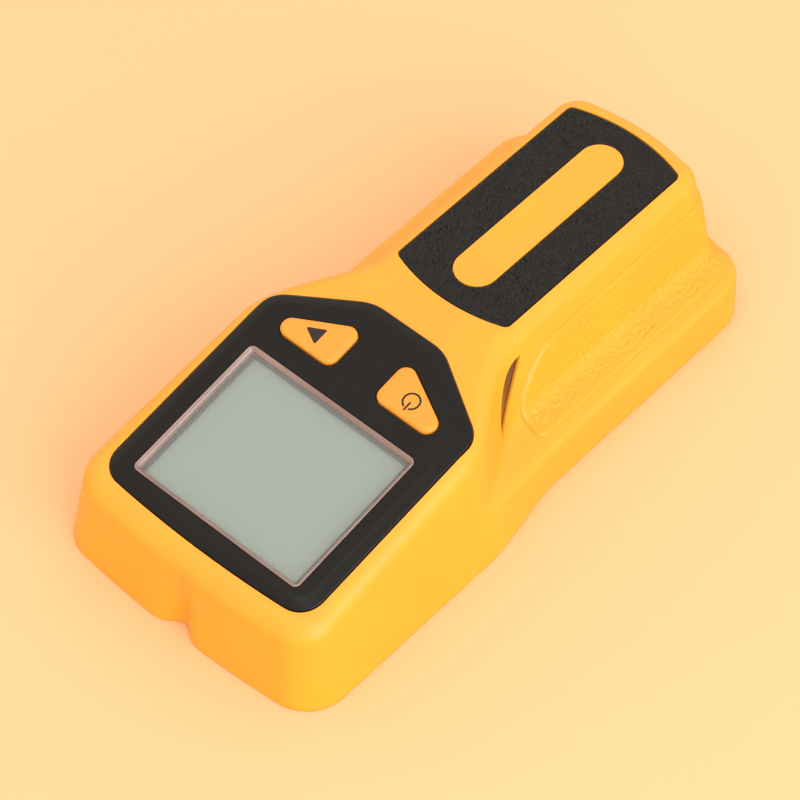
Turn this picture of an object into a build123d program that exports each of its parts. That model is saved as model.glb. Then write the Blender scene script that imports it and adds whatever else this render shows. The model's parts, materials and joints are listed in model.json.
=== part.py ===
"""Handheld wall scanner (stud finder): a wide sensing head with a display, and a narrower handle.

Units are millimetres. The sensing face lies on z = 0 and the origin is at its centre. +Y points to the
notched front edge of the head, -Y to the end of the handle, and +Z out of the display.
"""
from build123d import *
import math
import os

# ---------------------------------------------------------------- driving dimensions
HEAD_WIDTH = 72.0           # at the sensing face
FRONT_Y = 74.08             # notched edge
HANDLE_TOP_Z = 33.5         # flat top of the handle
WALL = 2.2                  # side wall of the casing
ROOF = 3.0                  # roof of the casing
SHOULDER_R = 3.4            # rounding between side wall and roof
GAP = 0.15                  # gap round a fitted part

HEAD_DRAFT = 0.17           # how far a head side leans in, per mm of height
FRONT_DRAFT = 0.14
FRONT_BULGE = 0.00185       # fall of the front edge per x squared
REAR_BULGE = 0.0095
FOOT_REAR_BULGE = 0.004
NOTCH_DEPTH = 3.0           # marking notch, at the sensing face
NOTCH_SPREAD = 3.2
NOTCH_TOP_Z = 20.0

# Height, half width of the handle, rear end, and where the neck starts and ends.
LEVELS = (
    (0.0, 32.45, -74.0, -7.0, 19.0),
    (11.0, 32.1, -73.75, -7.0, 19.0),
    (11.8, 31.5, -73.4, -7.0, 19.3),
    (12.4, 30.2, -73.1, -6.9, 19.7),
    (12.9, 28.2, -72.8, -6.7, 20.1),
    (13.4, 26.2, -72.6, -6.4, 20.6),
    (14.0, 24.6, -72.45, -6.2, 21.0),
    (14.9, 23.4, -72.35, -6.0, 21.4),
    (16.4, 22.4, -72.25, -6.2, 21.6),
    (50.0, 12.9, -71.0, -11.2, 19.3),
)

# Display face: a plane that falls towards the front. Face coordinates are x, distance forward, height.
FACE_Y = 44.0
FACE_Z = 26.9
FACE_TILT = 10.8            # degrees
SLOPE = math.tan(math.radians(FACE_TILT))
FACE = Plane((0, FACE_Y, FACE_Z), x_dir=(1, 0, 0),
             z_dir=(0, math.sin(math.radians(FACE_TILT)), math.cos(math.radians(FACE_TILT))))
DECK = -1.0                 # casing roof over the head, in face height

BEZEL_HALF = 28.15
BEZEL_FRONT = 22.95
BEZEL_FRONT_SAG = 1.3
BEZEL_SHOULDER = -29.5
BEZEL_REAR = -40.8
BEZEL_REAR_HALF = 9.45
BEZEL_EDGE = -0.7           # height of the rim's outer edge
BEZEL_BOTTOM = -2.4
BEZEL_BORDER = 2.3          # width of the sloping border

WINDOW = (45.1, 36.2)
WINDOW_CORNER = 1.4
LENS_THICK = 1.5
VIEW = (41.6, 33.6)
VIEW_FORWARD = 0.3
LCD = (45.0, 36.6)
LCD_TOP = -2.5
LCD_THICK = 2.2
BACKLIGHT_THICK = 2.0
BOARD_TOP = -9.0
BOARD_THICK = 1.6
BOARD_HALF = 24.3
BOARD_REAR = -36.0
BOARD_FRONT = 23.4

BUTTON_POINTS = ((8.05, -25.7), (18.5, -25.7), (8.05, -31.1))
BUTTON_ROUND = 2.3
BUTTON_PROUD = 0.8
BUTTON_SLOT = 0.3
FLANGE_OUT = 0.8
FLANGE_TOP = -2.55
FLANGE_THICK = 0.9
STEM = (11.2, -27.3)        # where a button presses its switch
STEM_R = 1.5
SWITCH_SIDE = 6.0
SWITCH_HIGH = 3.4
PLUNGER_R = 1.6
PLUNGER_PROUD = 0.7
POWER_MARK = (-13.0, -27.4)
MODE_MARK = (13.6, -27.5)
MARK_DEEP = 0.25

INLAY_HALF = 14.9
INLAY_FRONT = -6.9
INLAY_REAR = -67.5
INLAY_BULGE = 0.0122
INLAY_DEEP = 1.0
INLAY_PROUD = 0.15
PILL_HALF = 4.9
PILL_FRONT = -12.5
PILL_REAR = -61.8

PAD_OUT = 0.45              # how far the side grips stand out of the handle
PAD_IN = 0.45
GRIP_LOW = 12.6             # heights of a side grip's long edges
GRIP_HIGH = 26.9
GRIP_TOP_Y = -17.0          # where its upper edge ends

COVER_INSET = 1.05          # width of the casing rim round the bottom cover
COVER_THICK = 2.0
BATTERY = (26.3, 46.0, 17.3)
BATTERY_REAR = -65.4
BATTERY_Z = 2.6
BAY_HALF = 13.9
BAY_REAR = -66.2
BAY_FRONT = -10.4
BAY_WALL = 1.4
BAY_TOP = 21.0
DOOR_THICK = 1.8
DOOR_HALF = 13.9
DOOR_REAR = -65.9
DOOR_GAP = 0.3
HINGE_Y = -11.2
HINGE_Z = DOOR_THICK / 2
HINGE_PIN_R = 0.6
HINGE_PIN_OUT = 1.9
HINGE_PLAY = 0.06
LATCH_HALF = 4.3
LATCH_FLANGE = 5.6
LATCH_REAR = -65.6
LATCH_FRONT = -58.6
BOLT_OUT = 1.6

SCREW_PLACES = ((27.8, 50.0), (-27.8, 50.0), (19.2, -61.0), (-19.2, -61.0))
BOSS_R = 2.8
BOSS_FOOT_Z = 4.5
SCREW_R = 1.1
SCREW_HEAD_R = 2.1
SCREW_HEAD_Z = 2.1
SCREW_END_Z = 12.5
PILOT_R = 1.12
BOARD_SCREWS = ((-21.5, -33.0), (21.5, -33.0), (-19.0, 21.4), (19.0, 21.4))

SENSOR_Y = 42.0
SENSOR = (46.0, 44.0)
SENSOR_Z = 4.6
SENSOR_THICK = 1.0
COIL_OUTER = 19.0
COIL_INNER = 14.5
FELT = (30.0, 5.0)
FELT_THICK = 0.6

os.makedirs("parts", exist_ok=True)


# ---------------------------------------------------------------- casing shape
def smooth_step(t):
    t = min(1.0, max(0.0, t))
    return t * t * (3 - 2 * t)


def spread(start, end, count):
    """count values from start to end, both included."""
    return [start + (end - start) * i / (count - 1) for i in range(count)]


def level_at(z):
    """The row of LEVELS for a height, blended between its neighbours."""
    for low, high in zip(LEVELS, LEVELS[1:]):
        if z <= high[0]:
            break
    t = (z - low[0]) / (high[0] - low[0])
    return [a + (b - a) * t for a, b in zip(low, high)]


def half_section(z, handle, rear, neck_rear, neck_front, inset=0.0):
    """Points of half a horizontal section, from mid rear round +X to mid front."""
    head = HEAD_WIDTH / 2 - HEAD_DRAFT * z - inset
    handle = handle - inset
    front = FRONT_Y - FRONT_DRAFT * z - inset
    rear = rear + inset
    foot = smooth_step((13.5 - z) / 3)
    front_round = 10.0 - 0.09 * z - 0.6 * inset
    rear_round = 6.0 + 4.0 * foot - 0.6 * inset
    bulge = REAR_BULGE + (FOOT_REAR_BULGE - REAR_BULGE) * foot
    notch = NOTCH_DEPTH * max(0.0, 1 - z / NOTCH_TOP_Z)

    def front_edge(x):
        return front - FRONT_BULGE * x * x - notch * math.exp(-((x / NOTCH_SPREAD) ** 2))

    centre_x = handle - rear_round
    centre_y = rear + bulge * centre_x * centre_x + rear_round
    points = [(x, rear + bulge * x * x) for x in (0, centre_x * 0.3, centre_x * 0.6)]
    for a in spread(-84, -4, 7):
        angle = math.radians(a)
        points.append((centre_x + rear_round * math.cos(angle), centre_y + rear_round * math.sin(angle)))
    points += [(handle, y) for y in spread(centre_y + 3, neck_rear - 4, 6)]
    for y in spread(neck_rear, neck_front, 9):
        share = smooth_step((y - neck_rear) / (neck_front - neck_rear))
        points.append((handle + (head - handle) * share, y))
    centre_x = head - front_round
    centre_y = front_edge(centre_x) - front_round
    points += [(head, y) for y in spread(neck_front + 3, centre_y - 4, 5)]
    for a in spread(4, 86, 7):
        angle = math.radians(a)
        points.append((centre_x + front_round * math.cos(angle), centre_y + front_round * math.sin(angle)))
    return points + [(x, front_edge(x)) for x in (20, 15, 10, 7, 5, 3.6, 2.4, 1.2, 0)]


def path_shares(points):
    """Share of the path length reached at each point."""
    total = [0.0]
    for a, b in zip(points, points[1:]):
        total.append(total[-1] + math.dist(a, b))
    return [t / total[-1] for t in total]


SHARES = path_shares(half_section(*LEVELS[7]))


def closed_outline(points):
    """One closed wire from half of a symmetric outline."""
    ahead = Vector(1, 0, 0)
    right = Edge.make_spline([Vector(*p) for p in points], tangents=[ahead, -ahead], parameters=SHARES)
    left = Edge.make_spline([Vector(-x, y, z) for x, y, z in points], tangents=[-ahead, ahead],
                            parameters=SHARES)
    return Wire([right, left])


def tower(inset=0.0, drop=0.0):
    """The casing's side walls as a closed solid taller than the roof. drop lowers all but the foot."""
    wires = []
    for row in LEVELS:
        z = row[0] - drop if row[0] else 0.0
        wires.append(closed_outline([(x, y, z) for x, y in half_section(*row, inset=inset)]))
    return Solid.make_loft(wires, True)


def roof_section(height, inset):
    """Outline of the casing where a sloping plane, given by its height at each y, cuts the side walls."""
    count = len(SHARES)
    zs = [20.0] * count
    for _ in range(4):
        points = [half_section(*level_at(z), inset=inset)[i] for i, z in enumerate(zs)]
        zs = [height(y) for x, y in points]
    return closed_outline([(x, y, z) for (x, y), z in zip(points, zs)])


def deck_height(y, drop=0.0):
    return FACE_Z + DECK / math.cos(math.radians(FACE_TILT)) - SLOPE * (y - FACE_Y) - drop


def under_deck(drop=0.0):
    """Everything below the sloping roof of the head."""
    return Pos(0, 0, -drop) * FACE * Pos(0, 0, DECK - 100) * Box(400, 400, 200)


def under_top(drop=0.0):
    """Everything below the level roof of the handle."""
    return Pos(0, 0, HANDLE_TOP_Z - drop - 100) * Box(400, 400, 200)


def shoulder_cutter(height, tilt, angle):
    """Frame that takes one facet of the rounded shoulder off the casing."""
    deep = SHOULDER_R + 1.0
    high = 2.0

    def inset(drop):
        lean = SHOULDER_R - (SHOULDER_R - drop) * math.sin(angle)
        return SHOULDER_R - lean / math.cos(angle)

    wires = [roof_section(lambda y, d=d: height(y) - d, inset(d)) for d in (deep + 0.3, -high - 0.3)]
    slab = Plane((0, 0, height(0) + (high - deep) / 2), x_dir=(1, 0, 0),
                 z_dir=(0, math.sin(tilt), math.cos(tilt))) * Box(300, 300, (deep + high) * math.cos(tilt))
    return slab - Solid.make_loft(wires, True)


def casing_block():
    """The casing before it is hollowed."""
    body = (tower() & under_deck()) & under_top()
    for angle in (22, 45, 68):
        body -= shoulder_cutter(deck_height, math.radians(FACE_TILT), math.radians(angle))
        body -= shoulder_cutter(lambda y: HANDLE_TOP_Z, 0.0, math.radians(angle))
    return body


# ---------------------------------------------------------------- outlines in the display face
def face_block(outline, top, bottom):
    """Solid between two heights over the display face, with this outline."""
    return FACE * Pos(0, 0, bottom) * extrude(outline, top - bottom)


def face_box(size, top, bottom, x=0.0, y=0.0, corner=0.3):
    return face_block(Pos(x, y) * RectangleRounded(*size, corner), top, bottom)


def face_rod(radius, top, bottom, x, y):
    return face_block(Pos(x, y) * Circle(radius), top, bottom)


def bezel_outline(grow=0.0):
    side = BEZEL_HALF
    front = BEZEL_FRONT
    shape = make_face(Curve() + [
        ThreePointArc((-side, front - BEZEL_FRONT_SAG), (0, front), (side, front - BEZEL_FRONT_SAG)),
        Polyline((side, front - BEZEL_FRONT_SAG), (side, BEZEL_SHOULDER), (BEZEL_REAR_HALF, BEZEL_REAR),
                 (-BEZEL_REAR_HALF, BEZEL_REAR), (-side, BEZEL_SHOULDER), (-side, front - BEZEL_FRONT_SAG)),
    ])
    corners = shape.vertices().sort_by(Axis.Y)
    shape = fillet(corners[4:6], 5.5)
    corners = shape.vertices().sort_by(Axis.Y)
    shape = fillet(corners[0:2], 10)
    shoulders = [v for v in shape.vertices() if abs(v.Y - BEZEL_SHOULDER) < 0.1]
    shape = fillet(shoulders, 5.5)
    return offset(shape, grow) if grow else shape


def button_outline(sign, grow=0.0):
    core = make_face(Polyline(*[(sign * x, y) for x, y in BUTTON_POINTS], close=True))
    return offset(core, BUTTON_ROUND + grow)


def window_outline(grow=0.0):
    return RectangleRounded(WINDOW[0] + 2 * grow, WINDOW[1] + 2 * grow, WINDOW_CORNER + grow)


def view_outline():
    return Pos(0, VIEW_FORWARD) * RectangleRounded(*VIEW, 0.8)


# ---------------------------------------------------------------- display and buttons
def display_bezel():
    body = face_block(bezel_outline(), 0, BEZEL_BOTTOM)
    rim = body.edges().filter_by(lambda e: FACE.to_local_coords(e.center()).Z > -0.01)
    body = chamfer(rim, -BEZEL_EDGE, BEZEL_BORDER)
    body -= face_block(window_outline(0.1), 1, -LENS_THICK)
    body -= face_block(view_outline(), 1, BEZEL_BOTTOM - 1)
    for sign in (-1, 1):
        body -= face_block(button_outline(sign, BUTTON_SLOT), 1, BEZEL_BOTTOM - 1)
    return body


def display_lens():
    return face_block(window_outline(), 0, -LENS_THICK + 0.02)


def button(sign):
    cap = face_block(button_outline(sign), BUTTON_PROUD, FLANGE_TOP)
    rim = cap.edges().filter_by(lambda e: FACE.to_local_coords(e.center()).Z > BUTTON_PROUD - 0.01)
    cap = fillet(rim, 0.6)
    flange = face_block(button_outline(sign, FLANGE_OUT), FLANGE_TOP, FLANGE_TOP - FLANGE_THICK)
    stem = face_rod(STEM_R, FLANGE_TOP, BOARD_TOP + SWITCH_HIGH + PLUNGER_PROUD, sign * STEM[0], STEM[1])
    return cap + flange + stem


def power_mark():
    ring = Pos(*POWER_MARK) * (Circle(2.05) - Circle(1.6) - Pos(0, 1.9) * Rectangle(1.1, 1.4))
    bar = Pos(POWER_MARK[0], POWER_MARK[1] + 1.4) * Rectangle(0.45, 2.2)
    return face_block(ring, BUTTON_PROUD, BUTTON_PROUD - MARK_DEEP) + \
        face_block(bar, BUTTON_PROUD, BUTTON_PROUD - MARK_DEEP)


def mode_mark():
    arrow = make_face(Polyline((2.3, 0), (-1.9, 2.1), (-1.9, -2.1), close=True))
    arrow = Pos(*MODE_MARK) * fillet(arrow.vertices(), 0.3)
    return face_block(arrow, BUTTON_PROUD, BUTTON_PROUD - MARK_DEEP)


def lcd_panel():
    return face_box(LCD, LCD_TOP, LCD_TOP - LCD_THICK)


def backlight():
    top = LCD_TOP - LCD_THICK
    return face_box((LCD[0] - 1, LCD[1] - 1), top, top - BACKLIGHT_THICK)


def lcd_frame():
    """Bracket on the main board that carries the backlight and the display panel."""
    top = LCD_TOP - 1.5
    frame = face_box((LCD[0] + 2.6, LCD[1] + 2.6), top, BOARD_TOP, corner=1)
    frame -= face_box((LCD[0] + 0.1, LCD[1] + 0.1), 0, LCD_TOP - LCD_THICK)
    frame -= face_box((LCD[0] - 0.9, LCD[1] - 0.9), 0, LCD_TOP - LCD_THICK - BACKLIGHT_THICK)
    frame -= face_box((LCD[0] - 6, LCD[1] - 8), 0, BOARD_TOP - 1)
    for y in (-LCD[1] / 2 + 2.2, LCD[1] / 2 - 2.2):
        frame -= face_box((38.2, 2.2), 0, BOARD_TOP - 1, y=y, corner=0.2)
    for x, y in BOARD_SCREWS:
        frame -= face_rod(2.6, 0, BOARD_TOP - 1, x, y)
    return frame


def contact_strips():
    """Rubber strips that join the display panel to the main board."""
    top = LCD_TOP - LCD_THICK - BACKLIGHT_THICK
    return [face_box((38, 2.0), top, BOARD_TOP, y=y, corner=0.1) for y in
            (-LCD[1] / 2 + 2.2, LCD[1] / 2 - 2.2)]


# ---------------------------------------------------------------- electronics
def main_board():
    board = face_box((BOARD_HALF * 2, BOARD_FRONT - BOARD_REAR), BOARD_TOP, BOARD_TOP - BOARD_THICK,
                     y=(BOARD_FRONT + BOARD_REAR) / 2, corner=4)
    for x, y in BOARD_SCREWS:
        board -= face_rod(1.1, 0, BOARD_TOP - 5, x, y)
    return board


def board_screws():
    bottom = BOARD_TOP - BOARD_THICK
    screws = []
    for x, y in BOARD_SCREWS:
        head = face_rod(1.9, bottom, bottom - 1.3, x, y)
        head -= face_box((2.6, 0.5), bottom - 0.7, bottom - 2, x, y, 0.1)
        screws.append(head + face_rod(0.9, BOARD_TOP + 3.0, bottom, x, y))
    return screws


def switch_body(sign):
    x = sign * STEM[0]
    body = face_box((SWITCH_SIDE, SWITCH_SIDE), BOARD_TOP + SWITCH_HIGH, BOARD_TOP, x, STEM[1])
    return body - face_rod(PLUNGER_R + 0.1, 0, BOARD_TOP + 1.6, x, STEM[1])


def switch_plunger(sign):
    top = BOARD_TOP + SWITCH_HIGH + PLUNGER_PROUD
    return face_rod(PLUNGER_R, top, BOARD_TOP + 2.4, sign * STEM[0], STEM[1])


def board_chips():
    bottom = BOARD_TOP - BOARD_THICK
    places = (((10, 10), 1.4, 3, -4), ((6, 5), 1.2, -13, 2), ((6, 5), 1.2, 14, 8), ((5, 4), 1.0, -9, -16),
              ((4, 3), 1.0, 15, -14))
    return [face_box(size, bottom, bottom - high, x, y, 0.2) for size, high, x, y in places]


def buzzer():
    bottom = BOARD_TOP - BOARD_THICK
    can = face_rod(6, bottom, bottom - 4.5, 0, -27.5)
    can = fillet(can.edges().filter_by(lambda e: FACE.to_local_coords(e.center()).Z < bottom - 4.4), 0.6)
    return can - face_rod(1.0, bottom - 2, bottom - 6, 0, -27.5)


def sensor_board():
    board = Pos(0, SENSOR_Y, SENSOR_Z + SENSOR_THICK / 2) * Box(*SENSOR, SENSOR_THICK)
    board = fillet(board.edges().filter_by(Axis.Z), 2)
    for x in (-20, 20):
        board -= Pos(x, SENSOR_Y - 19, SENSOR_Z) * Cylinder(1.15, 6)
        board -= Pos(x, SENSOR_Y + 19, SENSOR_Z) * Cylinder(1.15, 6)
    return board


def sensing_plates():
    """Copper electrodes under the sensor board."""
    plate = extrude(RectangleRounded(17, 30, 1), 0.2)
    return [Pos(x, SENSOR_Y, SENSOR_Z - 0.2) * plate for x in (-11, 11)]


def detection_coil():
    ring = Cylinder(COIL_OUTER, 2.0) - Cylinder(COIL_INNER, 3.0)
    ring = fillet(ring.edges(), 0.5)
    return Pos(0, SENSOR_Y, SENSOR_Z + SENSOR_THICK + 1.0) * ring


def board_link():
    """Pin header that joins the sensor board to the main board."""
    top = FACE_Z - 11.3 - SLOPE * 3.0
    pins = Part()
    for i in range(5):
        pins += Pos(-5 + 2.5 * i, SENSOR_Y + 5, (SENSOR_Z + 1 + top) / 2) * Box(0.6, 0.6, top - SENSOR_Z - 1)
    return pins + Pos(0, SENSOR_Y + 5, SENSOR_Z + 2.25) * Box(13, 2.5, 2.5)


# ---------------------------------------------------------------- side lamps
def side_prism(sign, grow=0.0):
    """Crescent of a side lamp, as a bar that runs out through the neck wall."""
    top = (-9.2 - grow, 28.2 + grow)
    bottom = (2.6 + grow, 17.0 - grow)
    inner = (1.9 - grow, 16.9 - grow)
    crescent = make_face(Curve() + [
        ThreePointArc(top, (-0.7 + grow, 24.7 + grow), bottom),
        Line(bottom, inner),
        ThreePointArc(inner, (-3.9 - grow, 21.9 - grow), top),
    ])
    return extrude(Plane.YZ * crescent, sign * 40)


def side_lamp_lens(sign, skin, core):
    return (side_prism(sign) & skin) - core


def lamp_board(sign):
    board = Pos(sign * 14.4, -4.5, 14.0) * Box(1.0, 7.0, 22.0)
    return board + Pos(sign * 15.2, -4.5, 23.0) * Box(0.6, 3.5, 2.8)


def lamp(sign):
    dome = extrude(Plane.YZ.offset(15.5) * Pos(-4.5, 23.0) * RectangleRounded(3.0, 2.4, 0.5), 0.9)
    return dome if sign > 0 else mirror(dome, Plane.YZ)


# ---------------------------------------------------------------- handle
def inlay_outline(grow=0.0):
    half = INLAY_HALF
    front = INLAY_FRONT - INLAY_BULGE * half * half
    rear = INLAY_REAR + INLAY_BULGE * half * half
    shape = make_face(Curve() + [
        ThreePointArc((-half, front), (0, INLAY_FRONT), (half, front)),
        Line((half, front), (half, rear)),
        ThreePointArc((half, rear), (0, INLAY_REAR), (-half, rear)),
        Line((-half, rear), (-half, front)),
    ])
    shape = fillet(shape.vertices(), 1.2)
    return offset(shape, grow) if grow else shape


def pill_outline(grow=0.0):
    length = PILL_FRONT - PILL_REAR + 2 * grow
    return Pos(0, (PILL_FRONT + PILL_REAR) / 2) * RectangleRounded(2 * (PILL_HALF + grow), length,
                                                                   PILL_HALF + grow - 0.01)


def grip_inlay():
    bottom = HANDLE_TOP_Z - INLAY_DEEP + 0.02
    body = Pos(0, 0, bottom) * extrude(inlay_outline(), HANDLE_TOP_Z + INLAY_PROUD - bottom)
    return body - Pos(0, 0, bottom - 1) * extrude(pill_outline(GAP), 4)


def pad_prism():
    """Region of the side grips, seen from the side."""
    side = make_face(Curve() + [
        Polyline((GRIP_TOP_Y, GRIP_HIGH), (-90, GRIP_HIGH), (-90, GRIP_LOW), (-5.0, GRIP_LOW)),
        ThreePointArc((-5.0, GRIP_LOW), (-8.3, 20.2), (GRIP_TOP_Y, GRIP_HIGH)),
    ])
    return extrude(Plane.YZ * side, 60, both=True)


def side_grip(sign, region, skin, core):
    half = Pos(sign * 50, -40, 15) * Box(100, 80, 40)
    clear = Pos(0, -75, 15) * Box(24, 20, 60)
    return ((skin & region & half) - core) - clear


# ---------------------------------------------------------------- bottom cover and battery bay
def cover_outline(grow=0.0):
    row = LEVELS[0]
    return make_face(closed_outline([(x, y, 0.0) for x, y in half_section(*row, inset=COVER_INSET - grow)]))


def bay_box(out, low, high):
    """Block round the battery bay, out mm larger than its hollow."""
    long = BAY_FRONT - BAY_REAR + 2 * out
    return Pos(0, (BAY_FRONT + BAY_REAR) / 2, (low + high) / 2) * Box(2 * (BAY_HALF + out), long, high - low)


def cover_screw_post(x, y):
    return Pos(x, y, BOSS_FOOT_Z / 2) * Cylinder(3.4, BOSS_FOOT_Z - 0.1)


def cover_screw_hole(x, y):
    hole = Pos(x, y, 1.0) * Cylinder(SCREW_HEAD_R + 0.25, 2 * SCREW_HEAD_Z - 2.0)
    return hole + Pos(x, y, 3) * Cylinder(SCREW_R + 0.2, 8)


def bottom_cover():
    body = extrude(cover_outline(-GAP), COVER_THICK)
    body += bay_box(BAY_WALL, COVER_THICK - 0.5, BAY_TOP + BAY_WALL)
    body -= bay_box(0, -1, BAY_TOP)
    body -= Pos(0, (DOOR_REAR + HINGE_Y) / 2, 0) * Box(2 * (DOOR_HALF + DOOR_GAP), HINGE_Y - DOOR_REAR
                                                       + 2 * DOOR_GAP + 1.8, 2 * (DOOR_THICK + 0.25))
    for x, y in SCREW_PLACES:
        body += cover_screw_post(x, y)
    for x in (-20, 20):
        for y in (SENSOR_Y - 19, SENSOR_Y + 19):
            body += Pos(x, y, SENSOR_Z / 2) * Cylinder(2.2, SENSOR_Z)
            body += Pos(x, y, SENSOR_Z) * Cylinder(1.0, 3.0)
    for sign in (-1, 1):
        body += Pos(sign * 14.4, -4.5, 4.0) * Box(3.4, 9.0, 5.0)
        body -= Pos(sign * 14.4, -4.5, 14.0) * Box(1.1, 7.1, 22.1)
        socket = Rot(0, 90, 0) * Cylinder(HINGE_PIN_R + HINGE_PLAY, 4.6)
        body -= Pos(sign * DOOR_HALF, HINGE_Y, HINGE_Z) * socket
    body -= Pos(0, -67.5, 0.95) * Box(9.2, 4.4, 1.1)
    for y in (20, 64):
        body -= Pos(0, y, 0) * Box(FELT[0] + 0.1, FELT[1] + 0.1, 2 * FELT_THICK)
    for x, y in SCREW_PLACES:
        body -= cover_screw_hole(x, y)
    return body


def battery_door():
    body = Pos(0, (DOOR_REAR + HINGE_Y) / 2, HINGE_Z) * Box(2 * DOOR_HALF, HINGE_Y - DOOR_REAR, DOOR_THICK)
    body += Pos(0, HINGE_Y, HINGE_Z) * Rot(0, 90, 0) * Cylinder(HINGE_Z, 2 * DOOR_HALF)
    body += Pos(0, HINGE_Y, HINGE_Z) * Rot(0, 90, 0) * Cylinder(HINGE_PIN_R, 2 * (DOOR_HALF + HINGE_PIN_OUT))
    middle = (LATCH_REAR + LATCH_FRONT) / 2
    long = LATCH_FRONT - LATCH_REAR
    body -= Pos(0, middle + 0.6, 0.9) * Box(2 * (LATCH_FLANGE + 0.15), long + 2.2, 0.9)
    body -= Pos(0, middle + 0.6, 0.2) * Box(2 * (LATCH_HALF + 0.15), long + 2.2, 1.4)
    body -= Pos(0, LATCH_REAR, 0.9) * Box(2 * (LATCH_HALF + 0.15), 2, 0.9)
    for x in spread(-9, 9, 4):
        body += Pos(x, -35, DOOR_THICK + 0.2) * Box(1.2, 30, 0.6)
    return body


def door_latch():
    middle = (LATCH_REAR + LATCH_FRONT) / 2
    long = LATCH_FRONT - LATCH_REAR
    flange = Pos(0, middle + 0.25, 0.9) * Box(2 * LATCH_FLANGE, long - 0.5, 0.6)
    grip = Pos(0, middle + 0.25, 0.4) * Box(2 * LATCH_HALF, long - 0.5, 0.8)
    for y in spread(-64, -60, 5):
        grip -= Pos(0, y, 0) * Rot(0, 90, 0) * Cylinder(0.25, 7)
    bolt = Pos(0, LATCH_REAR - BOLT_OUT / 2 + 0.3, 0.9) * Box(2 * LATCH_HALF, BOLT_OUT + 0.8, 0.5)
    return flange + grip + bolt


def battery():
    wide, long, high = BATTERY
    can = Pos(0, BATTERY_REAR + long / 2, BATTERY_Z + high / 2) * Box(*BATTERY)
    can = fillet(can.edges().filter_by(Axis.Y), 2.0)
    front = BATTERY_REAR + long
    for x, radius in ((-6.35, 2.7), (6.35, 3.4)):
        can += Pos(x, front + 1.0, BATTERY_Z + high / 2) * Rot(90, 0, 0) * Cylinder(radius, 2.4)
    return can


def contact_block():
    front = BATTERY_REAR + BATTERY[1]
    back = front + 4.0
    middle = BATTERY_Z + BATTERY[2] / 2
    return Pos(0, (back + BAY_FRONT) / 2, middle) * Box(25, BAY_FRONT - back - 0.05, 13)


def battery_contacts():
    """Two sprung plates that meet the battery terminals."""
    front = BATTERY_REAR + BATTERY[1] + 2.55
    middle = BATTERY_Z + BATTERY[2] / 2
    contacts = []
    for x in (-6.35, 6.35):
        plate = Pos(x, front + 0.15, middle) * Box(6.5, 0.3, 9)
        foot = Pos(x, front + 0.75, middle - 4.35) * Box(4, 1.4, 0.3)
        contacts.append(plate + foot)
    return contacts


def wire_between(start, end, lift, radius=0.55):
    a = Vector(*start)
    b = Vector(*end)
    path = Spline(a, (a + b) * 0.5 + Vector(0, 0, lift), b)
    return sweep(Plane(origin=path @ 0, z_dir=path % 0) * Circle(radius), path)


def battery_leads():
    leads = []
    for x in (-4.5, 4.5):
        leads.append(wire_between((x, BAY_FRONT + BAY_WALL + 0.7, 11), (x * 1.6, 9.0, 21.6), 2.0))
    return leads


def lamp_leads():
    return [wire_between((sign * 13.3, -4.5, 18), (sign * 13.0, 9.0, 21.4), 2.0, 0.4) for sign in (-1, 1)]


# ---------------------------------------------------------------- casing
def casing_boss(x, y, block):
    boss = Pos(x, y, (BOSS_FOOT_Z + 33) / 2) * Cylinder(BOSS_R, 33 - BOSS_FOOT_Z)
    return boss & block


def top_shell(block, skin_cut, region):
    body = block - ((tower(WALL, 1.6) & under_deck(ROOF)) & under_top(ROOF))
    for x, y in SCREW_PLACES:
        body += casing_boss(x, y, block)
    for x, y in BOARD_SCREWS:
        body += face_rod(2.3, DECK - 1.5, BOARD_TOP + 0.02, x, y)
        body -= face_rod(0.92, BOARD_TOP + 3.1, BOARD_TOP - 1, x, y)
    body -= Pos(0, 0, -0.01) * extrude(cover_outline(), COVER_THICK + 0.06)
    for x, y in SCREW_PLACES:
        body -= Pos(x, y, SCREW_END_Z / 2) * Cylinder(PILOT_R, SCREW_END_Z + 1)
    body -= face_block(bezel_outline(GAP), 5, BEZEL_BOTTOM - 0.05)
    body -= face_box((LCD[0] + 3, LCD[1] + 3), 0, -8, corner=1)
    for sign in (-1, 1):
        body -= face_block(button_outline(sign, FLANGE_OUT + 0.3), 0, -6)
        body -= side_prism(sign, 0.1)
    recess = Pos(0, 0, HANDLE_TOP_Z - INLAY_DEEP) * extrude(inlay_outline(GAP), 3)
    body -= recess - Pos(0, 0, 30) * extrude(pill_outline(), 6)
    return body - (region - skin_cut)


def case_screws():
    screws = []
    for x, y in SCREW_PLACES:
        head = Pos(x, y, 1.25) * Cylinder(SCREW_HEAD_R, 1.6)
        head -= Pos(x, y, 0.6) * (Box(2.8, 0.6, 1.2) + Box(0.6, 2.8, 1.2))
        screws.append(head + Pos(x, y, (2.0 + SCREW_END_Z) / 2) * Cylinder(SCREW_R, SCREW_END_Z - 2.0))
    return screws


def felt_pads():
    pad = extrude(RectangleRounded(*FELT, 1), FELT_THICK - 0.02)
    return [Pos(0, y, 0) * pad for y in (20, 64)]


def save(shapes, name):
    shapes = shapes if isinstance(shapes, list) else [shapes]
    export_step(Compound(children=[s for shape in shapes for s in shape.solids()]), f"parts/{name}.step")


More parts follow.
